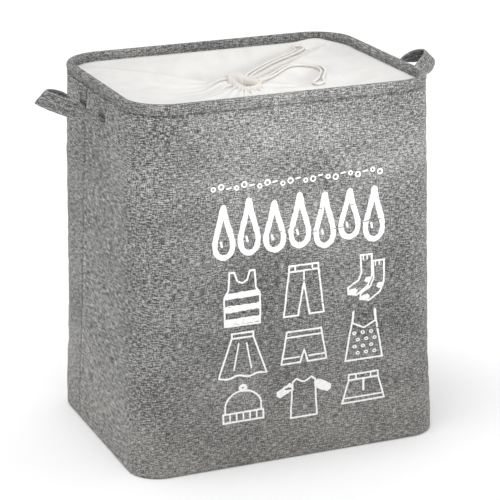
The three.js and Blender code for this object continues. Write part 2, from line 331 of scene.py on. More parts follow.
def loop_path(side):
    """The cord's middle line: out on one side of the loop's route, round the tip, and back."""
    angle, route = pull_loops[side]
    start = (math.cos(math.radians(angle)) * exit_radius, math.sin(math.radians(angle)) * exit_radius)
    corners = [start, *[(x * MM, y * MM) for x, y in route]]
    count = 2 * len(route)
    middle = smooth_line(corners, count)
    slope = directions(smooth_line(corners, 40 * count))[::40]
    share = np.arange(count + 1) / count
    half = strand_spacing / 2 + (tip_radius - strand_spacing / 2) * smooth_steps(share, *tip_swell)
    across = np.column_stack([-slope[:, 1], slope[:, 0]]) * half[:, None]
    tip = middle[-1:] + slope[-1:] * tip_radius
    flat = np.vstack([middle + across, tip, (middle - across)[::-1]])
    shares = np.concatenate([share, [1], share[::-1]])
    lift = exit_lift + (cord_lift - exit_lift) * smooth_steps(shares, 0, settle_share)
    level = panel_level(side, flat[:, 0], flat[:, 1]) + cover_half_thickness + cord_width / 2 + lift
    knots = np.column_stack([flat, level])
    return smooth_line(knots, round(length_of(knots) / cord_step))


def braided_tube(name, path):
    """A cord along a nearly level path, with the plaits of its braid standing out."""
    forward = directions(path)
    side = np.cross(forward, (0, 0, 1))
    side /= np.linalg.norm(side, axis=1)[:, None]
    up = np.cross(side, forward)
    run = run_along(path)
    turn = np.linspace(0, 2 * math.pi, cord_sides + 1)
    twist = 2 * math.pi * run[:, None] / braid_turn * braid_plaits
    plait = np.maximum(np.cos(braid_plaits * turn + twist), np.cos(braid_plaits * turn - twist))
    radius = cord_width / 2 * (1 - cord_relief + cord_relief * plait)
    ring = (
        path[:, None] + side[:, None] * (radius * np.cos(turn))[..., None]
        + up[:, None] * (radius * np.sin(turn))[..., None]
    )
    uv = np.stack(np.broadcast_arrays(run[:, None], turn * cord_width / 2), axis=-1)
    return loft(name, ring[:, :-1], uv, capped=True)


cotton_cord = cotton_cord_finish()
loop_routes = {}
for loop_side in pull_loops:
    loop_line = loop_path(loop_side)
    loop_routes[loop_side] = loop_line
    pull_loop = braided_tube(f"pull_loop_cord_{loop_side}", loop_line)
    pull_loop.data.materials.append(cotton_cord)
    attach(pull_loop, f"{loop_side}_cover")
    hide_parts(f"pull_loop_{loop_side}")

# ---- Outer wall cloth -------------------------------------------------------------------------
# One wrap of grey linen-look polyester cloth, plain weave of mixed light and dark yarns, joined
# by one upright seam in the left wall. It lies a little loose over the foam, so it shows soft
# level creases, and four slits let the straps through.
corner_radius = 58 * MM
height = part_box("rim_hem")[1].z
hem_proud = 0.6 * MM
hem_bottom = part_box("rim_hem")[0].z
base_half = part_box("base_cloth")[1].xy
hem_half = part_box("rim_hem")[1].xy
lean = [(hem_half[i] - hem_proud - base_half[i]) / hem_bottom for i in (0, 1)]
wall_cell = 5 * MM
cloth_thickness = 1 * MM
foot_radius = 4 * MM  # rounding of the bottom edge
foot_level = 0.7 * MM
foot_fill, foot_fill_height = 15 * MM, 0.16
slit_level = hinges["left_handle"][2]
leg_places = [hinges["left_handle"][1] - 39 * MM, hinges["left_handle"][1] + 39 * MM]
side_grain, side_gain = 0.55, 0.6  # on the short walls the slubs are longer, and stronger by this
slit_half_width = 12.6 * MM
slit_half_height = 3 * MM
seam_low, seam_high = 75 * MM, 28 * MM  # the seam leans: its place at the floor and at the rim
seam_marks = [-12, -9, -6, -3.5, -1.5, 0, 1.5, 3.5, 6]
seam_groove, seam_ridge = 0.9 * MM, 0.7 * MM  # the turned-in edges make a ridge beside the groove
ridge_painted_highlight, groove_painted_shade = 0.9, 0.6  # painted highlight on the ridge, and painted shade by the groove: how much paler and darker
# The pale band is painted highlight on the ridge, and the dark band is painted shade by the groove.
seam_bands = {  # place across the seam, and half width
    "ridge": (-6 * MM, 2.6 * MM), "groove": (0, 1.8 * MM),
    "pale": (-5 * MM, 2.4 * MM), "dark": (1.5 * MM, 3.4 * MM),
}
hem_painted_shadow = 0.9  # painted shadow: how much darker the cloth is painted right under the hem
slit_swell = 1.3 * MM  # how far the sewn-in strap ends push the cloth out
swell_wide, swell_low = 1.9, 1.6  # the swell is wider than it is tall


def half_sides(z):
    return [base_half[i] + lean[i] * z for i in (0, 1)]


def seam_place(z):
    return seam_low + (seam_high - seam_low) * z / height


def seam_band(name, from_seam):
    place, half_width = seam_bands[name]
    return hump(from_seam - place, half_width)


def spaced(start, end, spacing, marks=()):
    """Evenly spaced places from start to end, that step aside for the marks between them."""
    count = max(2, round(abs(end - start) / spacing) + 1)
    even = [
        p for p in np.linspace(start, end, count)
        if all(abs(p - m) > 0.45 * spacing for m in marks) or p in (start, end)
    ]
    kept = [m for m in marks if min(start, end) < m < max(start, end)]
    return sorted([*even, *kept], reverse=start > end)


def walk_round(spacing, marks=(), corner_steps=16):
    """Stations round the outline, anticlockwise from the seam. Each is the share of the straight
    sides' half lengths, x and y, then the normal, x and y, and the run in metres."""
    flat = [side - corner_radius for side in half_sides(slit_level)]
    seam = seam_place(slit_level)
    left = [seam + m * MM for m in seam_marks]
    legs = [*marks]
    found, run = [], 0
    sides = [
        (-1, 0, seam, -flat[1], [*left, *legs]), (0, -1, -flat[0], flat[0], []),
        (1, 0, -flat[1], flat[1], legs), (0, 1, flat[0], -flat[0], []),
        (-1, 0, flat[1], seam, [*left, *legs]),
    ]
    for number, (nx, ny, start, end, special) in enumerate(sides):
        places = spaced(start, end, spacing, special)
        grain = side_grain if nx else 1
        for place in places[:-1]:
            shares = (nx, place / flat[1]) if nx else (place / flat[0], ny)
            found.append([*shares, nx, ny, run + grain * abs(place - start)])
        run += grain * abs(end - start)
        if number == 4:
            break
        angle = math.atan2(ny, nx)
        centre = (nx, end / flat[1]) if nx else (end / flat[0], ny)
        for step in range(corner_steps):
            a = angle + step / corner_steps * math.pi / 2
            found.append([*centre, math.cos(a), math.sin(a), run + corner_radius * (a - angle)])
        run += corner_radius * math.pi / 2
    return np.array(found), run


def on_outline(stations, z, inset, radius=corner_radius):
    """Points at height z, moved in by inset: arrays that fit the stations."""
    share_x, share_y, nx, ny, _ = stations.T
    half_x, half_y = half_sides(z)
    x = share_x * (half_x - radius) + (radius - inset) * nx
    y = share_y * (half_y - radius) + (radius - inset) * ny
    return np.stack(np.broadcast_arrays(x, y, z), axis=-1)


def filled_corner(z):
    """Radius of the outer corners: towards the floor the board spreads them a little."""
    return corner_radius - foot_fill * (1 - smooth_steps(z, 0, foot_fill_height))


def plain_noise(x, y, z):
    return noise.noise(Vector((x, y, z)))


def wall_relief(x, y, z):
    """How far the loose cloth stands off the foam at a point of the wall."""
    slack = smooth_steps(z, 0, 0.05) * (1 - smooth_steps(z, height - 0.075, height - 0.018))
    broad = 0.9 + plain_noise(x / 0.16, y / 0.16, z / 0.13)
    creases = 0.5 + 0.5 * plain_noise(x / 0.11 + 7, y / 0.11, z / 0.026 + 0.6 * x)
    fine = plain_noise(x / 0.035, y / 0.035 + 3, z / 0.012)
    valley = max(0, 1 - 6 * abs(plain_noise(x / 0.13 + 3, y / 0.13, z / 0.04 + 0.7 * x)))
    return MM * (0.25 + slack * max(0, broad + 1.5 * creases**2 + 0.22 * fine - 0.9 * valley))


def thicken(piece, thickness):
    """Gives a sheet its thickness on the side away from its face, and keeps the plain mesh."""
    shell = piece.modifiers.new("thickness", "SOLIDIFY")
    shell.thickness = thickness
    shell.offset = -1
    keep_plain(piece)


def keep_plain(piece):
    """Puts the mesh that the modifiers make in place of the piece's own."""
    made = bpy.data.meshes.new_from_object(piece.evaluated_get(bpy.context.evaluated_depsgraph_get()))
    made.name = piece.name
    piece.modifiers.clear()
    piece.data = made


def mark(piece, name, values):
    """Gives each point of a piece a value, which its finish reads by this name."""
    made = piece.data.attributes.new(name, "FLOAT", "POINT")
    made.data.foreach_set("value", np.ravel(values))


def read(tree, name):
    return add(tree, "ShaderNodeAttribute", {"attribute_name": name}).outputs["Fac"]


def weave(tree, vector, spacing):
    """Threads over and under each other, from -1 to 1, this far apart."""
    parts = add(tree, "ShaderNodeSeparateXYZ", None, {0: vector}).outputs
    waves = [
        maths(tree, "SINE", maths(tree, "MULTIPLY", parts[way], 2 * math.pi / spacing)) for way in "XY"
    ]
    return maths(tree, "MULTIPLY", *waves)


def linen_cloth_finish(name, reads_uv, dark, middle, light, dust_and_painted_light=False):
    """Polyester cloth woven to look like linen: light and dark yarns with long slubs, matt, with a
    faint sheen of fibre ends. Yarns are 0.7 mm apart, drawn at 1.6 mm so that they show."""
    material, tree, shader = new_finish(name, 0.92, {
        "IOR": 1.5, "Specular IOR Level": 0.2, "Sheen Weight": 0.12, "Sheen Roughness": 0.6,
    })
    where = add(tree, "ShaderNodeTexCoord")
    vector = where.outputs["UV"]
    if not reads_uv:
        parts = add(tree, "ShaderNodeSeparateXYZ", None, {0: where.outputs["Object"]}).outputs
        vector = add(tree, "ShaderNodeCombineXYZ", None, {0: parts["Y"], 1: parts["Z"]}).outputs[0]
    weft = spots(tree, vector, (130, 780, 1), 2)
    warp = spots(tree, vector, (740, 150, 1), 2)
    fleck = spots(tree, vector, (600, 720, 1), 2, 0.3)
    worn = spots(tree, vector, (9, 14, 1), 2)
    mixed = weigh(tree, (weft, 0.41), (warp, 0.24), (fleck, 0.35))
    stronger = maths(tree, "MULTIPLY", maths(tree, "SUBTRACT", mixed, 0.5), read(tree, "slub_gain"))
    mixed = maths(tree, "ADD", mixed, stronger)
    # Painted light and shade that pieces give their points: by the wall's seam, under the hem, and on
    # the straps.
    seam = read(tree, "seam_tone")
    broad = weigh(tree, (worn, 0.1), (seam, 0.05))
    toned = maths(tree, "SUBTRACT", maths(tree, "ADD", mixed, broad), 0.05)
    shade = ramp(tree, toned, (0.415, dark), (0.5, middle), (0.595, light))
    if dust_and_painted_light:  # a trace of warm dust over the lowest part, made pale so that it also stands in for light near the floor: partly painted light
        level = add(tree, "ShaderNodeSeparateXYZ", None, {0: vector}).outputs["Y"]
        low = maths(tree, "SUBTRACT", 1.0, maths(tree, "MULTIPLY", level, 1 / dust_and_light_height))
        thin = maths(tree, "MULTIPLY", worn, dust_and_light_share)
        patchy = add(tree, "ShaderNodeMath", {"operation": "MULTIPLY", "use_clamp": True}, {
            0: low, 1: thin,
        })
        dust_and_light_mix = add(tree, "ShaderNodeMix", {"data_type": "RGBA"}, {
            "Factor": patchy.outputs[0], "A": shade, "B": colour("#a59b91"),
        })
        shade = dust_and_light_mix.outputs["Result"]
    tree.links.new(shade, shader.inputs["Base Color"])
    threads = maths(tree, "ADD", maths(tree, "MULTIPLY", weave(tree, vector, 1.6 * MM), 0.25), mixed)
    raise_surface(tree, shader, threads, 0.5 * MM, 0.25)
    return material


dust_and_light_height, dust_and_light_share = 0.19, 0.3
slit_edges = [leg + s * slit_half_width for leg in leg_places for s in (-1, 1)]
slit_inner = [leg + s * 0.62 * slit_half_width for leg in leg_places for s in (-1, 1)]
wall_stations, wall_run = walk_round(wall_cell, [*slit_edges, *slit_inner])
slit_rows = [slit_level - slit_half_height, slit_level, slit_level + slit_half_height]
wall_rows = np.array(
    [foot_level, 1.4 * MM, 2.3 * MM, 3.2 * MM]
    + spaced(foot_radius, hem_bottom - 0.3 * MM, wall_cell, slit_rows)
)
foot = np.clip(foot_radius - wall_rows, 0, None)
wall_inset = foot_radius - np.sqrt(foot_radius**2 - foot**2)
wall_points = np.array([
    on_outline(wall_stations, z, inset, filled_corner(z)) for z, inset in zip(wall_rows, wall_inset)
])
on_left = wall_stations[:, 2] < -0.99
seam_reference = seam_place(slit_level)
for row, z in enumerate(wall_rows):
    # The left wall's stations shift so that one column follows the leaning seam.
    half_y = half_sides(z)[1] - filled_corner(z)
    y = wall_points[row, on_left, 1]
    reference = seam_reference * half_y / (half_sides(slit_level)[1] - corner_radius)
    ahead = y <= reference + 1e-9
    share = np.where(ahead, (y + half_y) / (reference + half_y), (half_y - y) / (half_y - reference))
    place = seam_place(z)
    wall_points[row, on_left, 1] = np.where(
        ahead, -half_y + share * (place + half_y), half_y - share * (half_y - place),
    )
# Painted light and shade for each point of the wall.
seam_tone = np.zeros(wall_points.shape[:2])
for row, z in enumerate(wall_rows):
    for column, (_, _, nx, ny, _) in enumerate(wall_stations):
        x, y, _ = wall_points[row, column]
        off = wall_relief(x, y, z)
        if nx < -0.99:
            from_seam = y - seam_place(z)
            off += seam_ridge * seam_band("ridge", from_seam)
            off -= seam_groove * seam_band("groove", from_seam)
            # Painted highlight on the seam's ridge and painted shade beside its groove.
            seam_tone[row, column] = ridge_painted_highlight * seam_band("pale", from_seam)
            seam_tone[row, column] -= groove_painted_shade * seam_band("dark", from_seam)
        if abs(nx) > 0.99:
            for leg in leg_places:
                reach = math.hypot((y - leg) / swell_wide, swell_low * (z - slit_level))
                off += slit_swell * hump(reach, slit_half_width)
        wall_points[row, column, :2] += np.array((nx, ny)) * off
wall_uv = np.stack(np.meshgrid(np.append(wall_stations[:, 4], wall_run), wall_rows), axis=-1)
slit_cells = np.zeros((len(wall_rows), len(wall_stations)), bool)
level_row = int(np.argmin(abs(wall_rows - slit_level)))
along_slit = wall_points[level_row, :, 1]
cell_middle = (along_slit + np.roll(along_slit, -1)) / 2
for leg in leg_places:
    inside = (abs(wall_stations[:, 2]) > 0.99) & (abs(cell_middle - leg) < slit_half_width)
    slit_cells[level_row - 1:level_row + 1, inside] = True
linen_cloth = linen_cloth_finish(
    "linen_look_woven_polyester", True, "#363636", "#6f6f6e", "#b6b6b4", dust_and_painted_light=True
)
wall = loft("wall_cloth_wrap", wall_points, wall_uv, skip=slit_cells)
# Painted shadow under the hem: the wall's top row is darkened.
seam_tone[-1] -= hem_painted_shadow
mark(wall, "slub_gain", np.tile(side_gain * abs(wall_stations[:, 2]), (len(wall_rows), 1)))
mark(wall, "seam_tone", seam_tone)
thicken(wall, cloth_thickness)
wall.data.materials.append(linen_cloth)
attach(wall, "root")
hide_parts("outer_wall_cloth")

# ---- Base cloth and board ---------------------------------------------------------------------
# The bottom is the same grey cloth, drawn tight over a stiff board and turned up at its edge to
# meet the wall. The board is grey-brown pressed cardboard, 3 mm, and can't be seen in use.
base_thickness = 0.9 * MM
base_profile = [(1.9, 0.85), (2.5, 0.4), (3.4, 0.12), (5, 0.02), (9, 0)]  # inset and level, in mm
base_wave = 0.25 * MM


def floor_disc(name, rings):
    """A sheet across the hamper from rings of points, the first one outermost."""
    points = np.array(rings)
    rows, columns = points.shape[:2]
    places = points.reshape(-1, 3)
    number = np.arange(len(places)).reshape(rows, columns)
    onward = np.roll(number, -1, axis=1)
    faces = np.stack([number[:-1], onward[:-1], onward[1:], number[1:]], axis=-1).reshape(-1, 4)
    mesh = bpy.data.meshes.new(name)
    mesh.from_pydata(places.tolist(), [], [*faces.tolist(), number[-1].tolist()])
    layer = mesh.uv_layers.new(name="cloth")
    for loop in mesh.loops:
        layer.data[loop.index].uv = places[loop.vertex_index][:2]
    mesh.shade_smooth()
    return new_object(name, mesh)


round_stations = walk_round(9 * MM)[0]
base_rings = [
    on_outline(round_stations, z * MM, inset * MM, filled_corner(0)) for inset, z in base_profile
]
for share in (0.93, 0.85, 0.75, 0.62, 0.48, 0.34, 0.2, 0.08):
    ring = base_rings[len(base_profile) - 1].copy()
    ring[:, :2] *= share
    for point in ring:
        point[2] = base_wave * (1 + plain_noise(point[0] / 0.07, point[1] / 0.07, 1))
    base_rings.append(ring)
base_rings = [ring[::-1] for ring in base_rings]
base = floor_disc("base_cloth_sheet", base_rings)
thicken(base, base_thickness)
base.data.materials.append(linen_cloth)
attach(base, "root")
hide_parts("base_cloth")


def pressed_board_finish():
    """Recycled cardboard, pressed flat: short brown fibres lying every way, dull."""
    material, tree, shader = new_finish("pressed_cardboard", 0.88, {
        "IOR": 1.5, "Specular IOR Level": 0.25,
    })
    where = add(tree, "ShaderNodeTexCoord").outputs["Object"]
    fibres = spots(tree, where, (300, 900, 400), 5, 0.6)
    clouds = spots(tree, where, (25, 25, 25), 2)
    tone = weigh(tree, (fibres, 0.7), (clouds, 0.3))
    shade = ramp(tree, tone, (0.3, "#8f7d61"), (0.5, "#ab987a"), (0.7, "#c2b294"))
    tree.links.new(shade, shader.inputs["Base Color"])
    raise_surface(tree, shader, fibres, 0.15 * MM, 0.5)
    return material


def refinish(material, *names):
    """Puts a material on solids that are carried over as they are."""
    for name in names:
        kept = frame["nodes"][name]
        if not kept.material_slots:
            kept.data.materials.append(material)
        kept.material_slots[0].material = material


refinish(pressed_board_finish(), "base_board")

# ---- Wall foam --------------------------------------------------------------------------------
# A 4 mm sheet of closed-cell foam between cloth and lining. It makes the walls stand, and its
# dark grey is painted shade: it shows only as the dark behind the slits.


def foam_finish():
    """Polyethylene foam, skived: closed cells under a millimetre across, drawn at 1.5 mm."""
    material, tree, shader = new_finish("closed_cell_foam", 0.95, {
        "IOR": 1.5, "Specular IOR Level": 0.15,
    })
    where = add(tree, "ShaderNodeTexCoord").outputs["Object"]
    cells = add(tree, "ShaderNodeTexVoronoi", None, {"Vector": where, "Scale": 1 / (1.5 * MM)})
    # The dark grey is painted shade for the slits.
    shade = ramp(tree, cells.outputs["Distance"], (0.1, "#39393b"), (0.7, "#58585a"))
    tree.links.new(shade, shader.inputs["Base Color"])
    raise_surface(tree, shader, cells.outputs["Distance"], 0.4 * MM, 0.6)
    return material


refinish(foam_finish(), "wall_foam")

# ---- Lining of walls and floor ----------------------------------------------------------------
# White polyester coated on its inner side so that damp washing doesn't reach the foam: smooth,
# slightly glossy, with soft creases where it isn't glued down.
lining_inset = 6.4 * MM
lining_thickness = 0.8 * MM
lining_crease, floor_crease = 1.6 * MM, 1.2 * MM
floor_inset = 6.8 * MM
lining_bottom, lining_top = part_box("wall_lining")[0].z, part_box("wall_lining")[1].z
band_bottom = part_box("cover_seam_band")[0].z
floor_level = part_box("floor_lining")[1].z


def coated_lining_finish():
    """Polyester taffeta with a clear coating: near white, satin, its fine weave just felt."""
    material, tree, shader = new_finish("coated_white_taffeta", 0.5, {
        "IOR": 1.48, "Specular IOR Level": 0.4,
    })
    where = add(tree, "ShaderNodeTexCoord").outputs["UV"]
    crinkle = spots(tree, where, (26, 18, 1), 5, 0.4)
    grain = spots(tree, where, (900, 900, 1), 2)
    shade = ramp(tree, crinkle, (0.3, "#dcdbd8"), (0.7, "#eeedea"))
    tree.links.new(shade, shader.inputs["Base Color"])
    gloss = maths(tree, "ADD", maths(tree, "MULTIPLY", crinkle, 0.25), 0.38)
    tree.links.new(gloss, shader.inputs["Roughness"])
    folds = maths(tree, "ADD", crinkle, maths(tree, "MULTIPLY", grain, 0.03))
    raise_surface(tree, shader, folds, 2.5 * MM, 0.5)
    return material


coated_lining = coated_lining_finish()
lining_stations, lining_run = walk_round(8 * MM)
lining_rows = np.array(spaced(lining_top, lining_bottom, 10 * MM))
lining_points = np.array([on_outline(lining_stations, z, lining_inset) for z in lining_rows])
for row, z in enumerate(lining_rows):
    slack = (1 - smooth_steps(z, band_bottom - 0.06, band_bottom)) * smooth_steps(z, 0.004, 0.04)
    for column, (_, _, nx, ny, _) in enumerate(lining_stations):
        x, y, _ = lining_points[row, column]
        wave = max(0, plain_noise(x / 0.05, y / 0.05, z / 0.09) + 0.2)
        lining_points[row, column, :2] -= np.array((nx, ny)) * lining_crease * slack * wave
lining_uv = np.stack(np.meshgrid(np.append(lining_stations[:, 4], lining_run), lining_rows), axis=-1)
lining = loft("wall_lining_sheet", lining_points, lining_uv)
thicken(lining, lining_thickness)
lining.data.materials.append(coated_lining)
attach(lining, "root")
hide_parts("wall_lining")

floor_rings = []
for share in (1, 0.985, 0.96, 0.92, 0.86, 0.78, 0.68, 0.56, 0.44, 0.32, 0.2, 0.09):
    ring = on_outline(round_stations, floor_level, floor_inset)
    ring[:, :2] *= share
    for point in ring:
        crease = max(0, plain_noise(point[0] / 0.06, point[1] / 0.04, 5))
        point[2] += floor_crease * crease if share < 0.99 else 0
    floor_rings.append(ring)
floor_sheet = floor_disc("floor_lining_sheet", floor_rings)
thicken(floor_sheet, lining_thickness)
floor_sheet.data.materials.append(coated_lining)
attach(floor_sheet, "root")
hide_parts("floor_lining")

# ---- Rim: wire, hem and its stitches ----------------------------------------------------------
# A 3.2 mm spring steel wire runs round the top. A band of the wall's cloth is folded over it, in
# and out, and lockstitched through all layers near its lower edge, which draws the band in.
hem_outer, hem_inner = -hem_proud, 8 * MM
hem_wall = 1.3 * MM
hem_stitch_level = hem_bottom + 2.6 * MM
hem_bulge, hem_draw_half = 0.7 * MM, 1.3 * MM
stitch_pitch, stitch_length, thread_width = 3.6 * MM, 2.9 * MM, 0.75 * MM


def spring_wire_finish():
    """Galvanised spring steel, drawn: grey metal with fine lines along the wire."""
    material, tree, shader = new_finish("galvanised_spring_wire", 0.38, {"Metallic": 1.0})
    where = add(tree, "ShaderNodeTexCoord").outputs["Object"]
    lines = spots(tree, where, (40, 40, 2500), 3)
    shade = ramp(tree, lines, (0.3, "#8d9093"), (0.7, "#b9bcbf"))
    tree.links.new(shade, shader.inputs["Base Color"])
    raise_surface(tree, shader, lines, 0.05 * MM, 0.4)
    return material


def sewing_thread_finish(name, dark, light):
    """Two-ply polyester thread in a grey near the cloth's, a little glossier than the cloth."""
    material, tree, shader = new_finish(name, 0.6, {
        "IOR": 1.5, "Specular IOR Level": 0.35, "Sheen Weight": 0.2,
    })
    where = add(tree, "ShaderNodeTexCoord").outputs["Object"]
    ply = spots(tree, where, (1400, 1400, 1400), 2)
    shade = ramp(tree, ply, (0.35, dark), (0.65, light))
    tree.links.new(shade, shader.inputs["Base Color"])
    raise_surface(tree, shader, ply, 0.1 * MM, 0.5)
    return material


def build_stitch_tree():
    """Geometry nodes that lay one slim stitch after another along the edges they are given."""
    tree = bpy.data.node_groups.new("stitch_row", "GeometryNodeTree")
    sockets = tree.interface
    sockets.new_socket("Rows", in_out="INPUT", socket_type="NodeSocketGeometry")
    for name, size in (("Pitch", stitch_pitch), ("Length", stitch_length), ("Thread", thread_width)):
        sockets.new_socket(name, in_out="INPUT", socket_type="NodeSocketFloat").default_value = size
    sockets.new_socket("Material", in_out="INPUT", socket_type="NodeSocketMaterial")
    sockets.new_socket("Stitches", in_out="OUTPUT", socket_type="NodeSocketGeometry")
    given = add(tree, "NodeGroupInput").outputs
    line = add(tree, "GeometryNodeMeshToCurve", None, {"Mesh": given["Rows"]})
    points = add(tree, "GeometryNodeCurveToPoints", {"mode": "LENGTH"}, {
        "Curve": line.outputs[0], "Length": given["Pitch"],
    })
    bead = add(tree, "GeometryNodeMeshUVSphere", None, {"Segments": 6, "Rings": 4, "Radius": 0.5})
    size = add(tree, "ShaderNodeCombineXYZ", None, {
        0: given["Thread"], 1: given["Thread"], 2: given["Length"],
    })
    stitch = add(tree, "GeometryNodeTransform", None, {
        "Geometry": bead.outputs["Mesh"], "Scale": size.outputs[0],
    })
    placed = add(tree, "GeometryNodeInstanceOnPoints", None, {
        "Points": points.outputs["Points"], "Instance": stitch.outputs[0],
        "Rotation": points.outputs["Rotation"],
    })
    real = add(tree, "GeometryNodeRealizeInstances", None, {0: placed.outputs[0]})
    smooth = add(tree, "GeometryNodeSetShadeSmooth", None, {0: real.outputs[0]})
    done = add(tree, "GeometryNodeSetMaterial", None, {
        "Geometry": smooth.outputs[0], "Material": given["Material"],
    })
    add(tree, "NodeGroupOutput", None, {0: done.outputs[0]})
    return tree


stitch_tree = build_stitch_tree()
hem_thread = sewing_thread_finish("grey_polyester_thread", "#5a5a59", "#8c8c8b")


def sew(name, rows, thread, closed=False):
    """Stitches along rows of points, as one plain mesh."""
    points, edges = [], []
    for row in rows:
        first = len(points)
        points += [tuple(p) for p in row]
        edges += [(first + i, first + i + 1) for i in range(len(row) - 1)]
        if closed:
            edges.append((len(points) - 1, first))
    mesh = bpy.data.meshes.new(name)
    mesh.from_pydata(points, edges, [])
    piece = new_object(name, mesh)
    laid = piece.modifiers.new("stitches", "NODES")
    laid.node_group = stitch_tree
    values = {
        "Pitch": stitch_pitch, "Length": stitch_length, "Thread": thread_width, "Material": thread,
    }
    for item in stitch_tree.interface.items_tree:
        if item.in_out == "INPUT" and item.name in values:
            laid[item.identifier] = values[item.name]
    keep_plain(piece)
    return piece


def hem_offset(x, y, z):
    """Outward shift of the band: drawn in at the stitches, puffed above them, slightly puckered."""
    drawn = hump(z - hem_stitch_level, hem_draw_half)
    puffed = math.sin(math.pi * smooth_steps(z, hem_stitch_level, height))
    pucker = plain_noise(x / 0.012, y / 0.012, z / 0.02)
    wander = plain_noise(x / 0.05, y / 0.05, 9)
    return hem_bulge * (0.9 * puffed - drawn + 0.55 * pucker * (0.3 + drawn) + 0.35 * wander)


hem_middle, hem_round = (hem_outer + hem_inner) / 2, (hem_inner - hem_outer) / 2
cavity_round = hem_round - hem_wall
arc_level = height - hem_round
climb = [0, 0.9, 1.9, 2.6, 3.4, 4.6, 6.2, 7.8]
hem_section = [(hem_outer, hem_bottom + c * MM) for c in climb]
hem_section += [
    (hem_middle - hem_round * math.cos(a), arc_level + hem_round * math.sin(a))
    for a in np.linspace(0, math.pi, 11)
]
hem_section += [(hem_inner, hem_bottom + c * MM) for c in climb[::-1]]
hem_section += [(hem_inner - hem_wall, hem_bottom), (hem_inner - hem_wall, arc_level)]
hem_section += [
    (hem_middle + cavity_round * math.cos(a), arc_level + cavity_round * math.sin(a))
    for a in np.linspace(0.4, math.pi - 0.4, 5)
]
hem_section += [(hem_outer + hem_wall, arc_level), (hem_outer + hem_wall, hem_bottom)]
outside_count = 2 * len(climb) + 11
hem_stations, hem_run = walk_round(3.2 * MM, corner_steps=28)
hem_points = np.array([on_outline(hem_stations, z, inset) for inset, z in hem_section])
for row, (inset, z) in enumerate(hem_section[:outside_count]):
    outwards = 1 if inset < hem_middle else -1
    flatness = min(1, abs(inset - hem_middle) / hem_round * 1.05)
    for column, (_, _, nx, ny, _) in enumerate(hem_stations):
        x, y, _ = hem_points[row, column]
        shift = hem_offset(x, y, z) * flatness
        hem_points[row, column, :2] += np.array((nx, ny)) * outwards * shift
section_run = run_along(np.array(hem_section), closed=True)
hem_uv = np.stack(np.meshgrid(np.append(hem_stations[:, 4], hem_run), section_run + height), axis=-1)
# The hem's cloth is a little darker than the wall's, as painted shade.
hem_cloth = linen_cloth_finish("linen_look_hem_cloth", True, "#353535", "#6c6c6b", "#b0b0ae")
hem = loft("rim_hem_band", hem_points, hem_uv, round_rows=True)
hem.data.materials.append(hem_cloth)
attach(hem, "root")
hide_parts("rim_hem")

stitch_rows = []
for inset, outwards in ((hem_outer, 1), (hem_inner, -1)):
    line = on_outline(hem_stations, hem_stitch_level, inset)
    for point, (_, _, nx, ny, _) in zip(line, hem_stations):
        shift = hem_offset(point[0], point[1], hem_stitch_level) + 0.1 * MM
        point[:2] += np.array((nx, ny)) * outwards * shift
    stitch_rows.append(line)
hem_stitches = sew("rim_hem_stitches", stitch_rows, hem_thread, closed=True)
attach(hem_stitches, "root")
refinish(spring_wire_finish(), "rim_wire")

# ---- Handles ----------------------------------------------------------------------------------
# Each handle is a strap of the wall's cloth, folded to 23 mm and sewn along both edges and the
# middle. It leaves two slits lying flat, turns on edge along its legs and folds back at the tip.
# Its ends are sewn in behind the wall cloth.
strap_half, strap_half_thickness = 11.5 * MM, 1.4 * MM
strap_reach = 73 * MM
strap_lift = {"left": math.radians(21), "right": math.radians(25)}
strap_turn = {"left": (0.06, 0.7), "right": (0.3, 1)}  # shares of the reach
fold_lean = math.radians(45)
strap_steps, face_count = 150, 17  # points along the strap, and across one of its faces
inner_painted_shade, edge_painted_highlight = -1.1, 0.8  # painted shade on the loop's inner face, and painted highlight on the folded edges
strap_stitch_places = [-9.8 * MM, 0, 9.8 * MM]
stitch_sink = 0.72  # how deep in the strap its stitches lie, as a share of half its thickness
bend_inside, bend_outside = 4 * MM, 10 * MM  # distances behind and in front of the slit, that give bend_from and bend_to
leg_half = 39 * MM
leg_line = [(-1, -0.06), (-1, 0), (-0.97, 0.25), (-0.82, 0.56), (-0.42, 0.87), (-0.14, 0.975)]


def strap_frames(side):
    """The strap's middle line with the directions across its width and through its thickness."""
    shape = [*leg_line, (0, 1), *[(-along, share) for along, share in leg_line[::-1]]]
    path = smooth_line([(a * leg_half, s * strap_reach) for a, s in shape], strap_steps)
    slope = directions(path)
    lift = strap_lift[side]
    out = np.array((math.cos(lift), 0, math.sin(lift)))
    along_wall = np.array((0, 1, 0))
    on_edge = np.array((math.sin(fold_lean), 0, -math.cos(fold_lean)))
    end = np.where(np.arange(strap_steps + 1) < strap_steps / 2, -1, 1)
    turned = smooth_steps(path[:, 1] / strap_reach, *strap_turn[side])
    middle = path[:, :1] * along_wall + path[:, 1:] * out
    forward = slope[:, :1] * along_wall + slope[:, 1:] * out
    across = (end * (1 - turned))[:, None] * along_wall + turned[:, None] * on_edge
    across = across - forward * (across * forward).sum(axis=1)[:, None]
    across /= np.linalg.norm(across, axis=1)[:, None]
    through = np.cross(forward, across)
    hinge = np.array(hinges[f"{side}_handle"])
    flip = np.array((-1, 1, 1) if side == "left" else (1, -1, 1))
    return hinge + middle * flip, across * flip, through * flip


def strap_outline():
    """The section of the folded strap: rounded edges, drawn in along the rows of stitches."""
    flat = np.linspace(-0.93, 0.93, face_count) * strap_half
    dip = sum(hump(flat - place, 1.1 * MM) for place in strap_stitch_places)
    face = strap_half_thickness * (1 - 0.3 * dip)
    top = list(zip(flat, face))
    right = [(strap_half, strap_half_thickness * t) for t in (0.5, -0.5)]
    bottom = [(w, -t) for w, t in top[::-1]]
    left = [(-w, -t) for w, t in right]
    return np.array([*top, *right, *bottom, *left])
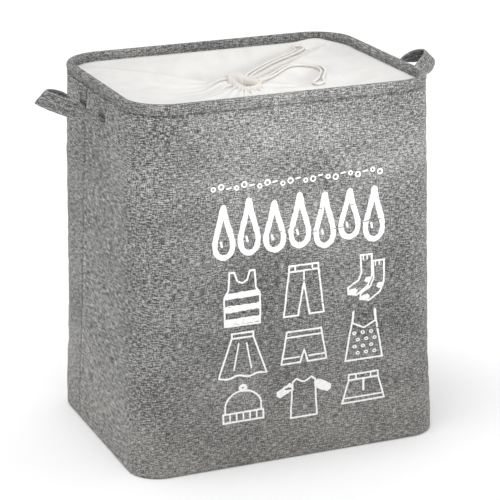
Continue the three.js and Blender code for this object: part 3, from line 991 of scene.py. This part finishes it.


# The strap's cloth is a little darker than the wall's, as painted shade. Its thread is paler, as
# painted highlight along the folded edges.
strap_cloth = linen_cloth_finish("linen_look_strap_cloth", True, "#353535", "#6a6a69", "#adadab")
strap_thread = sewing_thread_finish("light_grey_polyester_thread", "#a2a2a0", "#c8c8c6")
section = strap_outline()
section_run = run_along(section, closed=True)
for strap_side, outward in (("left", -1), ("right", 1)):
    middle, across, through = strap_frames(strap_side)
    ring = (
        middle[:, None] + across[:, None] * section[None, :, :1]
        + through[:, None] * section[None, :, 1:]
    )
    uv = np.stack(np.meshgrid(section_run, run_along(middle)), axis=-1)[..., ::-1]
    strap = loft(f"strap_{strap_side}", ring, uv, capped=True)
    half_way = strap_steps // 2
    faces_out = np.dot(through[half_way], middle[half_way] - middle[0]) > 0
    inner_start = face_count + 2 if faces_out else 0
    # Painted shade on the loop's inner face, and painted highlight on its folded edges.
    section_painted_light = np.zeros(len(section))
    section_painted_light[inner_start:inner_start + face_count] = inner_painted_shade
    section_painted_light[[face_count, face_count + 1, -2, -1]] = edge_painted_highlight
    mark(strap, "seam_tone", np.tile(section_painted_light, len(middle)))
    strap.data.materials.append(strap_cloth)
    lines = [
        (middle + across * place + through * face * (strap_half_thickness * stitch_sink))[5:-5]
        for place in strap_stitch_places for face in (-1, 1)
    ]
    strap_stitches = sew(f"strap_{strap_side}_stitches", lines, strap_thread)
    hinge = Vector(hinges[f"{strap_side}_handle"])
    bend_from = (hinge.x - outward * bend_inside, hinge.y, hinge.z)
    bend_to = (hinge.x + outward * bend_outside, hinge.y, hinge.z)
    for piece in (strap, strap_stitches):
        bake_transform(piece)
    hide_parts(f"handle_{strap_side}")
# The strap ends take the strap's darkened colours, painted shade.
strap_ends = linen_cloth_finish("linen_look_strap_ends", False, "#353535", "#6a6a69", "#adadab")
refinish(strap_ends, *[
    f"handle_{side}_tail_{place}" for side in ("left", "right") for place in ("front", "back")
])

# ---- Printed pictures ---------------------------------------------------------------------------
# White water-based ink, screen printed on the front: a row of bubbles, seven bold drops, and
# nine line drawings of washing. It is a film on the yarns, so it follows every crease.
ink_lift = 0.22 * MM
ink_thickness = 0.15 * MM
icon_wide, icon_tall = 1.36, 1.1
fine_line, mid_line, bold_line = 2.2, 2.5, 7.4  # stroke widths in millimetres, as the shapes are
bubble_count, bubble_start, bubble_step, bubble_level = 23, -111, 10.6, 385
drop_count, drop_start, drop_step, drop_level = 7, -98, 35.4, 329
columns_x, rows_z = (-73, 14, 101), (235, 157, 86)
hand = np.random.default_rng(12)
ink_points, ink_faces = [], []


def stroke(points, width, closed=False, smooth=False):
    """A line of ink in the plane of the front, through (x, z) points in millimetres."""
    points = np.array([*points, points[0]] if closed else points, float)
    if smooth:
        if closed:
            # The curve runs on past its ends, and is cut where it comes back to its first point.
            around = np.vstack([points[-3:-1], points, points[1:3]])
            line = smooth_line(around, 20 * len(around))
            away = np.hypot(*(line - points[0]).T)
            half = len(line) // 2
            line = line[np.argmin(away[:half]):half + np.argmin(away[half:]) + 1]
        else:
            line = smooth_line(points, 12 * len(points))
        line = resampled(line, max(4, round(length_of(line) / 3)))
    else:
        parts = []
        for a, b in zip(points, points[1:]):
            steps = max(1, round(np.hypot(*(b - a)) / 4))
            parts.append(a + (b - a) * (np.arange(steps) / steps)[:, None])
        line = np.vstack([*parts, points[-1]])
    if closed:
        line = line[:-1]
        ahead, behind = np.roll(line, -1, axis=0) - line, line - np.roll(line, 1, axis=0)
    else:
        step = np.diff(line, axis=0)
        ahead, behind = np.vstack([step, step[-1]]), np.vstack([step[0], step])
    ahead = ahead / np.hypot(*ahead.T)[:, None]
    behind = behind / np.hypot(*behind.T)[:, None]
    way = ahead + behind
    way /= np.maximum(np.hypot(*way.T), 1e-6)[:, None]
    stretch = 1 / np.clip((way * ahead).sum(axis=1), 0.62, 1)
    side = np.column_stack([-way[:, 1], way[:, 0]]) * (stretch * width / 2)[:, None]
    side = side * (1 + 0.07 * hand.standard_normal(len(line)))[:, None]
    first = len(ink_points)
    for place, off in zip(line, side):
        ink_points.extend([place + off, place - off])
    count = len(line)
    for i in range(count if closed else count - 1):
        a, b = first + 2 * i, first + 2 * ((i + 1) % count)
        ink_faces.append([a, a + 1, b + 1, b])
    if not closed:
        for middle, way_out, left, right in (
            (line[0], -way[0], first, first + 1),
            (line[-1], way[-1], first + 2 * count - 1, first + 2 * count - 2),
        ):
            ink_points.append(middle + way_out * min(width, 7) * 0.42)
            ink_faces.append([left, len(ink_points) - 1, right])


def ring_points(x, z, radius, count=12):
    return [
        (x + radius * math.cos(2 * math.pi * i / count), z + radius * math.sin(2 * math.pi * i / count))
        for i in range(count)
    ]


def draw(x, z, lines):
    """Draws an icon about its middle. Each of its lines has points, a width and stroke's flags."""
    for points, *how in lines:
        stroke([(x + icon_wide * px, z + icon_tall * pz) for px, pz in points], *how)


def mirrored(points):
    return [*points, *[(-x, z) for x, z in points[::-1] if abs(x) > 1e-6]]


def vest():
    half = [(-18, -33), (-18.5, 2), (-14, 12), (-13, 33), (-8, 33), (-5, 22), (0, 19)]
    bands = [([(-17, z), (17, z + 0.8)], 8.5) for z in (4, -12, -28)]
    return [(mirrored(half), mid_line, True), *bands]


def trousers():
    half = [(0, 31), (-15, 31), (-21, -31), (-6, -31), (0, 10)]
    return [
        (mirrored(half), mid_line, True), ([(-15.6, 24), (15.6, 24)], fine_line),
        ([(0, 23), (0, 13)], fine_line), ([(-9, 30), (-9, 25)], fine_line),
        ([(9, 30), (9, 25)], fine_line),
    ]


def socks():
    shape = [(-4, 33), (8, 33), (8, 6), (4, -6), (-8, -16), (-17, -14), (-17, -6), (-6, 2), (-3, 12)]
    second = [(x + 13, z - 9) for x, z in shape]
    toes = [([(x - 15, z - 12), (x - 9, z - 11)], 8) for x, z in ((0, 0), (13, -9))]
    heels = [([(x + 2, z + 1), (x + 6, z + 2)], 7) for x, z in ((0, 0), (13, -9))]
    ribs = [([(x, z), (x, z - 5)], 1.8) for x, z in ((-1, 32), (3, 32), (12, 23), (16, 23))]
    return [(shape, mid_line, True), (second, mid_line, True), *toes, *heels, *ribs]


def skirt():
    hem_line = [(-25, -26), (-15, -28), (-5, -25), (6, -28), (16, -25), (25, -27)]
    return [
        ([(-11, 28), (11, 28), (11, 22), (-11, 22)], mid_line, True),
        ([(-11, 22), (-25, -26)], mid_line), ([(11, 22), (25, -27)], mid_line),
        (hem_line, mid_line, False, True),
        ([(-4, 15), (-9, -18)], fine_line), ([(4, 15), (9, -18)], fine_line),
    ]


def shorts():
    half = [(0, 20), (-18, 20), (-24, -20), (-4, -20), (0, -4)]
    return [
        (mirrored(half), mid_line, True), ([(-18.5, 13), (18.5, 13)], fine_line),
        ([(-23, -13), (-5, -13)], fine_line), ([(5, -13), (23, -13)], fine_line),
    ]


def dotted_top():
    half = [(0, 12), (-13, 20), (-20, -28), (0, -28)]
    dots = [
        (ring_points(x + (3.5 if row % 2 else 0), 6 - 8.5 * row, 1.7, 8), 1.7, True)
        for row in range(4) for x in (-10, -1, 8)
    ]
    straps = [([(s * 12.5, 20), (s * 11.5, 34)], 3.4) for s in (-1, 1)]
    return [(mirrored(half), mid_line, True), *straps, *dots]


def beanie():
    dome = [(-19, -8), (-18, 6), (-9, 17), (0, 19), (9, 17), (18, 6), (19, -8)]
    ribs = [([(x, -9), (x, -17)], fine_line) for x in (-14, -7, 0, 7, 14)]
    return [
        (dome, mid_line, False, True), ([(-21, -8), (21, -8), (21, -19), (-21, -19)], mid_line, True),
        *ribs, (ring_points(0, 23, 3), 4, True),
    ]


def shirt():
    body = [(-12, 20), (-14, -26), (14, -26), (12, 20)]
    sleeves = [([(s * 13, 15), (s * 27, 6)], 12) for s in (-1, 1)]
    collar = [(-8, 24), (0, 19), (8, 24)]
    return [
        (body, mid_line), *sleeves, (collar, mid_line, False, True),
        ([(-12, 20), (-8, 24)], mid_line), ([(8, 24), (12, 20)], mid_line),
    ]


def belted_skirt():
    return [
        ([(-16, 18), (16, 18), (16, 11), (-16, 11)], mid_line, True),
        ([(-16, 11), (-23, -18), (23, -18), (16, 11)], mid_line),
        ([(-22, -12), (22, -12)], fine_line), ([(0, 10), (0, -4)], 3.2),
        ([(-8, 17), (-8, 12)], fine_line), ([(8, 17), (8, 12)], fine_line),
    ]


def water_drop(x, z, half_width, half_height):
    shape = [
        (0, 1), (-0.35, 0.42), (-0.78, -0.12), (-0.98, -0.5), (-0.72, -0.86), (0, -1),
        (0.72, -0.86), (0.98, -0.5), (0.78, -0.12), (0.35, 0.42),
    ]
    points = [(x + px * half_width, z + pz * half_height) for px, pz in shape]
    stroke([*points, points[0]], bold_line, False, True)
    glint = [(-0.32, -0.36), (-0.2, -0.56)]
    stroke([(x + px * half_width, z + pz * half_height) for px, pz in glint], 3)


for i in range(bubble_count):
    bubble_x, bubble_z = bubble_start + bubble_step * i, bubble_level + 2.2 * math.sin(1.9 * i)
    if i % 3 == 2:
        stroke([(bubble_x - 3, bubble_z), (bubble_x + 3, bubble_z + 1)], fine_line)
    else:
        stroke(ring_points(bubble_x, bubble_z, 3.4 if i % 3 else 2.6, 10), 1.9, True)
for i in range(drop_count):
    drop_x, drop_z = drop_start + drop_step * i, drop_level + (2 if i % 2 else -2)
    water_drop(drop_x, drop_z, 12.6, 34 + 2 * math.sin(2.2 * i))
icons = (vest, trousers, socks, skirt, shorts, dotted_top, beanie, shirt, belted_skirt)
for i, icon in enumerate(icons):
    draw(columns_x[i % 3], rows_z[i // 3], icon())


def white_ink_finish():
    """Screen-printed pigment ink: flat white film, its gloss broken by the yarns underneath."""
    material, tree, shader = new_finish("screen_printed_white_ink", 0.7, {
        "IOR": 1.5, "Specular IOR Level": 0.3,
    })
    where = add(tree, "ShaderNodeTexCoord").outputs["UV"]
    yarns = spots(tree, where, (200, 640, 1), 2.5)
    shade = ramp(tree, yarns, (0.28, "#d2d2d1"), (0.42, "#efefee"), (0.7, "#fafaf9"))
    tree.links.new(shade, shader.inputs["Base Color"])
    raise_surface(tree, shader, yarns, 0.3 * MM, 0.5)
    return material


ink_mesh = bpy.data.meshes.new("front_print")
ink_places = []
for x, z in np.array(ink_points) * MM:
    y = -half_sides(z)[1]
    ink_places.append((x, y - wall_relief(x, y, z) - ink_lift, z))
ink_mesh.from_pydata(ink_places, [], ink_faces)
ink_layer = ink_mesh.uv_layers.new(name="cloth")
for loop in ink_mesh.loops:
    ink_layer.data[loop.index].uv = np.array(ink_points[loop.vertex_index]) * MM
for face in ink_mesh.polygons:
    if face.normal.y > 0:
        face.flip()
front_print = new_object("front_print", ink_mesh)
thicken(front_print, ink_thickness)
front_print.data.materials.append(white_ink_finish())
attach(front_print, "root")

# ---- Cover ------------------------------------------------------------------------------------
# Thin white polyester-cotton, sewn in under the hem and gathered at its mouth. The pull of the
# mouth stretches four ridges to the corners, the cloth between them sags, and pleats fan out
# round the mouth. It is held as four panels, which share one surface.
cover_thickness = 0.8 * MM
cover_edge_inset, cover_edge_level = 7.9 * MM, 487.2 * MM
cover_inner_radius = 22.5 * MM
cover_fall = 16.3 * MM  # how far the cloth falls from its edge to the middle
tuck_depth = 11 * MM  # this far in from its edge the cloth leaves the hem
peak_place, peak_half = (0.17, 0.146), 20 * MM  # at the back right it is puffed up against the hem
peak_height, peak_inset = 5 * MM, 0.012  # and drawn in by this share
sags = {"front": (14, 3), "back": (28, 14), "left": (9, 2.6), "right": (10, 3)}  # mm, flatness
cord_hold = 13 * MM  # beside a pull loop the cloth stays up for about this far
bunch_height, bunch_angle, bunch_reach = 13 * MM, math.radians(135), 62 * MM
front_drop = 2 * MM
pleat_count, long_pleat_count, wrinkle_count = 33, 13, 21
pleat_low, pleat_more = 0.3 * MM, 2.3 * MM  # their height in front, and what the fan adds to it
pleat_fade, fan_fade = 12 * MM, 24 * MM  # and how far they reach
long_pleat_height, long_pleat_fade = 1.4 * MM, 52 * MM
fan_angle = math.radians(165)
shade_reach = 24 * MM  # how far from the mouth the valleys of the pleats are in shade
ripple_height = 0.55 * MM
ridge_height, ridge_half_share = 1.8 * MM, 0.045  # the pull towards each corner raises a ridge
pillow_height, pillow_half_share = 5 * MM, 0.3  # and at the back left the cloth beside it swells
mouth_share = 0.17  # of a panel's way in from the rim, what the mouth takes
fold_near, fold_far = 8 * MM, 46 * MM  # distances in from a panel's hinge, that give bend_from and bend_to
held_points = np.vstack([line[::6, :2] for line in loop_routes.values()])


def bunch_rise(angle):
    """The bunched cloth round the mouth stands higher at its back left than at its front."""
    return bunch_height * (0.5 + 0.5 * np.cos(angle - bunch_angle)) ** 1.3 - front_drop


def fan_share(angle):
    """How strongly the cloth is pleated on this side of the mouth: most at its left."""
    return (0.5 + 0.5 * np.cos(angle - fan_angle)) ** 2


def pleat_wave(angle):
    """The uneven pleats round the mouth, from about -1.3 to 1.3."""
    drift = angle + 0.07 * np.sin(3 * angle + 1) + 0.045 * np.sin(7 * angle)
    size = 0.8 + 0.35 * np.sin(2 * angle + 2) * np.sin(5 * angle)
    return size * (np.sin(pleat_count * drift) + 0.35 * np.sin(2 * pleat_count * drift + 1))


def cover_surface(x, y):
    """Height of the upper face of the cover at a place inside the rim."""
    ratio_x, ratio_y = abs(x) / hinge_half[0], abs(y) / hinge_half[1]
    outward_share = np.maximum(ratio_x, ratio_y)
    t = np.clip(1 - outward_share, 0, 1)
    sideways = np.minimum(ratio_x, ratio_y) / np.maximum(outward_share, 1e-6)
    ends = ratio_x > ratio_y
    names = np.where(ends, np.where(x < 0, "left", "right"), np.where(y < 0, "front", "back"))
    depth, flatness = (np.vectorize(lambda name: sags[name][part])(names) for part in (0, 1))
    distance = np.full(x.shape, 1.0)
    for px, py in held_points:
        distance = np.minimum(distance, np.hypot(x - px, y - py))
    slack = 1 - hump(distance, cord_hold)
    level = hinge_level - cover_fall * t + cover_half_thickness
    down = np.clip(t / (1 - mouth_share), 0, 1)
    belly = 4 * down * (1 - down)
    level -= slack * depth * MM * (1 - sideways**flatness) * belly
    from_ridge = 1 - sideways
    at_back_left = smooth_steps(-x, 0, 60 * MM) * smooth_steps(y, 0, 40 * MM)
    pillow = np.where(ends, pillow_half_share, ridge_half_share)
    level += ridge_height * hump(from_ridge, ridge_half_share) * belly
    level += pillow_height * hump(from_ridge, pillow) * belly * at_back_left
    radius, angle = np.hypot(x, y), np.arctan2(y, x)
    from_mouth = np.clip(radius - mouth_edge, 0, None)
    level += bunch_rise(angle) * (1 - smooth_steps(radius, mouth_edge, bunch_reach))
    drift = angle + 0.05 * np.sin(3 * angle + 1) + 0.035 * np.sin(7 * angle)
    long_pleats = np.sin(long_pleat_count * drift + 0.8) + 0.5 * np.sin(wrinkle_count * drift + 2.1)
    long_pleats *= np.exp(-from_mouth / long_pleat_fade) * smooth_steps(t, 0, 0.25)
    fan = fan_share(angle)
    pleats = pleat_wave(angle) * np.exp(-from_mouth / (pleat_fade + fan_fade * fan))
    level += (pleat_low + pleat_more * fan) * pleats + long_pleat_height * long_pleats
    ripples = np.sin(70 * x + 40 * y + 1.5 * np.sin(30 * y)) * np.sin(55 * y - 25 * x + 2)
    return level + ripple_height * slack * ripples * smooth_steps(t, 0, 0.2)


def polycotton_finish(name, light, shade_code):
    """Thin polyester-cotton, bleached: soft matt white, a faint weave and small pressed creases.
    Yarns are 0.35 mm apart, drawn at 1.2 mm so that they show."""
    material, tree, shader = new_finish(name, 0.85, {
        "IOR": 1.46, "Specular IOR Level": 0.25, "Sheen Weight": 0.1, "Sheen Roughness": 0.5,
    })
    where = add(tree, "ShaderNodeTexCoord").outputs["UV"]
    creases = spots(tree, where, (22, 30, 1), 4, 0.8)
    yarns = spots(tree, where, (800, 260, 1), 2)
    tone = weigh(tree, (creases, 0.7), (yarns, 0.3))
    shade = ramp(tree, tone, (0.3, shade_code), (0.62, light))
    # Painted shade in the valleys of the pleats near the mouth, towards a warm grey.
    shade = add(tree, "ShaderNodeMix", {"data_type": "RGBA"}, {
        "Factor": read(tree, "crease_tone"), "A": shade, "B": colour("#a59e97"),
    }).outputs["Result"]
    tree.links.new(shade, shader.inputs["Base Color"])
    relief = maths(tree, "ADD", creases, maths(tree, "MULTIPLY", weave(tree, where, 1.2 * MM), 0.02))
    raise_surface(tree, shader, relief, 2 * MM, 0.35)
    return material


cover_cloth = polycotton_finish("white_polyester_cotton", "#d8d7d5", "#cdccca")
cover_stations, _ = walk_round(3.2 * MM, corner_steps=24)
at_rim = on_outline(cover_stations, cover_edge_level, cover_edge_inset)
diagonals = np.flatnonzero(abs(abs(cover_stations[:, 2]) - abs(cover_stations[:, 3])) < 1e-6)
down_share = np.concatenate([
    np.linspace(0, 0.08, 7)[:-1], np.linspace(0.08, 0.62, 30)[:-1], np.linspace(0.62, 1, 34),
])
panel_order = ["front", "right", "back", "left"]
panel_spans = {}
for number, side_name in enumerate(panel_order):
    first, last = diagonals[number], diagonals[(number + 1) % 4]
    count = (last - first) % len(cover_stations)
    picked = (first + np.arange(count + 1)) % len(cover_stations)
    rim = at_rim[picked]
    panel_spans[side_name] = np.arctan2(rim[[0, -1], 1], rim[[0, -1], 0])
    # Between its stations at the rim a panel gets more of them, for the pleats.
    dense = np.linspace(0, count, 2 * count + 1)
    rim = np.column_stack([np.interp(dense, np.arange(count + 1), rim[:, i]) for i in (0, 1)])
    puff = hump(np.hypot(*(rim - peak_place).T), peak_half)
    rim = rim * (1 - peak_inset * puff[:, None])
    rim_radius = np.hypot(rim[:, 0], rim[:, 1])
    radius = rim_radius + (cover_inner_radius - rim_radius) * down_share[:, None]
    place = rim[None] * (radius / rim_radius)[..., None]
    level = cover_surface(place[..., 0], place[..., 1])
    angle = np.arctan2(place[..., 1], place[..., 0])
    from_mouth = np.clip(radius - mouth_edge, 0, None)
    # How much painted shade lies in the valleys of the pleats.
    pleat_shade_share = 0.15 + np.clip(0.3 - pleat_wave(angle), 0, 1)
    pleat_shade_share *= fan_share(angle) * np.exp(-from_mouth / shade_reach)
    tucked = smooth_steps(rim_radius - radius, 0, tuck_depth)
    edge = cover_edge_level + peak_height * puff
    level = edge + (level - edge) * tucked
    points = np.concatenate([place, level[..., None]], axis=-1)
    sheet = loft(f"cover_cloth_{side_name}", points, place, round_columns=False)
    mark(sheet, "crease_tone", pleat_shade_share)
    thicken(sheet, cover_thickness)
    sheet.data.materials.append(cover_cloth)
    axis = 0 if side_name in ("left", "right") else 1
    sign = -1 if side_name in ("left", "front") else 1
    bend_from, bend_to = [0, 0, hinge_level], [0, 0, hinge_level]
    bend_from[axis] = sign * (hinge_half[axis] - fold_near)
    bend_to[axis] = sign * (hinge_half[axis] - fold_far)
    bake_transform(sheet)
    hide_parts(f"cover_{side_name}")

# The edge of the cover is bound with a white tape and sewn in under the hem.
tape_section = [(7.7, 478), (7.75, 480), (7.7, 482), (7.75, 484), (7.7, 486), (6.7, 486), (6.7, 478)]
tape_section = [(inset * MM, z * MM) for inset, z in tape_section][::-1]
tape_points = np.array([on_outline(hem_stations, z, inset) for inset, z in tape_section])
tape_run = np.arange(len(tape_section) + 1) * 2 * MM
tape_uv = np.stack(np.meshgrid(np.append(hem_stations[:, 4], hem_run), tape_run), axis=-1)
tape = loft("cover_seam_band_tape", tape_points, tape_uv, round_rows=True)
tape.data.materials.append(cover_cloth)
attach(tape, "root")
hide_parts("cover_seam_band")

# ---- Gathered mouth and the drawstring inside it ------------------------------------------------
# The mouth's edge is turned over and sewn as a tunnel. The drawstring, cream cotton cord, pulls
# it up into a ruff of tight pleats with a small hole in the middle.
gather_section = [  # radius, height and how far the pleats move it, in mm
    (22.5, 466.5, 0.2), (24.6, 468.6, 0.4), (25.2, 471.4, 0.5), (24.8, 474.2, 0.6),
    (23.6, 476.8, 0.7), (21.8, 478.6, 0.8), (19.6, 479.4, 0.8), (17.2, 478.9, 0.8),
    (15.0, 477.1, 0.8), (13.4, 474.6, 0.8), (12.6, 471.8, 0.8), (12.4, 468.8, 0.8),
    (12.6, 465.2, 0.8), (12.4, 461.0, 0.7), (14.6, 460.6, 0.5), (17.0, 465.0, 0.3),
]
gather_low, gather_rise = 467, 12  # mm: from this level up the ruff follows the bunched cloth
gather_sink = 2.5 * MM
steps_per_pleat = 16
gather_cloth = polycotton_finish("gathered_polyester_cotton", "#d2cfca", "#c2bdb6")
for side_name, (from_angle, to_angle) in panel_spans.items():
    if to_angle < from_angle:
        to_angle += 2 * math.pi
    steps = round((to_angle - from_angle) / (2 * math.pi) * pleat_count * steps_per_pleat)
    angle = np.linspace(from_angle, to_angle, steps + 1)
    wave, uneven = pleat_wave(angle), np.sin(3 * angle + 0.6)
    columns = []
    for radius, level, share in gather_section:
        r = (radius + share * (0.8 * wave + 0.7 * uneven)) * MM
        h = (level + share * (0.75 * wave + 0.7 * np.sin(4 * angle))) * MM
        h += np.clip((level - gather_low) / gather_rise, 0, 1) * (bunch_rise(angle) - gather_sink)
        columns.append(np.column_stack([r * np.cos(angle), r * np.sin(angle), h]))
    points = np.array(columns).transpose(1, 0, 2)[:, ::-1]
    across_run = np.arange(points.shape[1] + 1) * 3 * MM
    uv = np.stack(np.meshgrid(across_run, angle * mouth_radius), axis=-1)
    gather = loft(f"mouth_casing_gather_{side_name}", points, uv, capped=True)
    gather.data.materials.append(gather_cloth)
    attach(gather, f"{side_name}_cover")
    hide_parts(f"mouth_casing_{side_name}")


def hidden_cord_finish():
    """The same cotton braid where it runs inside the tunnel: plaits 1.4 mm wide, on Object places."""
    material, tree, shader = new_finish("cotton_cord_in_tunnel", 0.9, {
        "IOR": 1.45, "Specular IOR Level": 0.25, "Sheen Weight": 0.25,
    })
    where = add(tree, "ShaderNodeTexCoord").outputs["Object"]
    plaits = add(tree, "ShaderNodeTexVoronoi", None, {"Vector": where, "Scale": 1 / (1.4 * MM)})
    shade = ramp(tree, plaits.outputs["Distance"], (0.1, "#efe9dc"), (0.8, "#cdc2ab"))
    tree.links.new(shade, shader.inputs["Base Color"])
    raise_surface(tree, shader, plaits.outputs["Distance"], 0.3 * MM, -0.6)
    return material


refinish(hidden_cord_finish(), *[f"drawstring_{side}" for side in panel_order])
